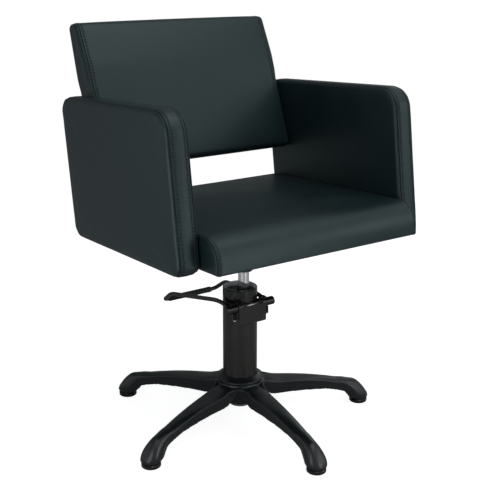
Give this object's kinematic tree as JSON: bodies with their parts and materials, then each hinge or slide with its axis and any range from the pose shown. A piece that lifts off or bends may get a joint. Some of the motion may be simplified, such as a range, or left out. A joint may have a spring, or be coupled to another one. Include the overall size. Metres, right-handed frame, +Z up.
{
  "type": "hairdressing chair",
  "caption": "Upholstered salon chair with slab arms and a separate leaning back, on a foot-pumped lifting column with a star base on glides.",
  "frame": {"origin": "on the floor under the column's axis, near the middle of the footprint", "axes": "+Z up along the column, -Y towards the front, where the sitter faces, +X to the sitter's left"},
  "size_m": [0.6079, 0.6233, 0.8879],
  "materials": {
    "casting": "black semi-matt powder coat on an aluminium casting",
    "column_paint": "black semi-gloss paint on steel",
    "black_plastic": "moulded black plastic, glossy",
    "glide_plastic": "moulded black plastic, matt",
    "chrome": "polished hard chrome",
    "steel": "plain turned or rolled steel",
    "rubber": "moulded black rubber",
    "vinyl": "soft black vinyl with fine grain over foam, stitched seams",
    "timber": "plain plywood and softwood rails",
    "cloth": "thin black non-woven cloth"
  },
  "bodies": {
    "base": {"star_base": "casting", "glide_1": "glide_plastic", "glide_2": "glide_plastic", "glide_3": "glide_plastic", "glide_4": "glide_plastic", "glide_5": "glide_plastic", "pump_tube": "column_paint", "tube_plug": "steel", "base_washer": "steel", "base_circlip": "steel", "inner_cylinder": "steel", "rod_guide": "steel", "cylinder_cap": "black_plastic", "rod_wiper": "rubber", "pump_housing": "column_paint", "shaft_bushes": "steel", "plunger_spring": "steel"},
    "pedal": {"pedal_shaft": "steel", "pump_cam": "steel", "left_pedal_hub": "column_paint", "right_pedal_hub": "column_paint", "hub_caps": "black_plastic", "hub_screws": "steel", "pedal_bar": "column_paint", "pedal_sleeve": "rubber"},
    "plunger": {"plunger": "steel", "plunger_seal": "rubber"},
    "lift": {"piston_head": "steel", "piston_seals": "rubber", "thrust_washer": "steel"},
    "seat": {"piston_rod": "chrome", "rod_clip": "steel", "seat_plate": "column_paint", "plate_bolts": "steel", "seat_board": "timber", "seat_rails": "timber", "seat_cushion": "vinyl", "dust_cover": "cloth", "left_arm_core": "timber", "left_arm_band": "vinyl", "left_arm_outer_pad": "vinyl", "left_arm_inner_pad": "vinyl", "left_seat_bolts": "steel", "left_back_bolts": "steel", "right_arm_core": "timber", "right_arm_band": "vinyl", "right_arm_outer_pad": "vinyl", "right_arm_inner_pad": "vinyl", "right_seat_bolts": "steel", "right_back_bolts": "steel", "back_board": "timber", "back_front_pad": "vinyl", "back_rear_pad": "vinyl"}
  },
  "joints": [
    {"name": "seat_lift", "type": "slide", "parent": "base", "child": "lift", "axis": [0, 0, 1], "range_m": [0, 0.13]},
    {"name": "seat_swivel", "type": "hinge", "parent": "lift", "child": "seat", "pos_m": [0.0097, 0, 0.3], "axis": [0, 0, 1], "continuous": true},
    {"name": "pedal_pivot", "type": "hinge", "parent": "base", "child": "pedal", "pos_m": [0, -0.039, 0.2855], "axis": [1, 0, 0], "range_deg": [-22, 0], "stiffness_Nm_per_rad": 4, "springref_deg": 22.92},
    {"name": "plunger_stroke", "type": "slide", "parent": "base", "child": "plunger", "axis": [0, 0, 1], "range_m": [-0.0039, 0], "deforming": ["plunger_spring"]}
  ],
  "couplings": [
    {"joint": "plunger_stroke", "follows": "pedal_pivot", "m_per_rad": 0.009972}
  ]
}
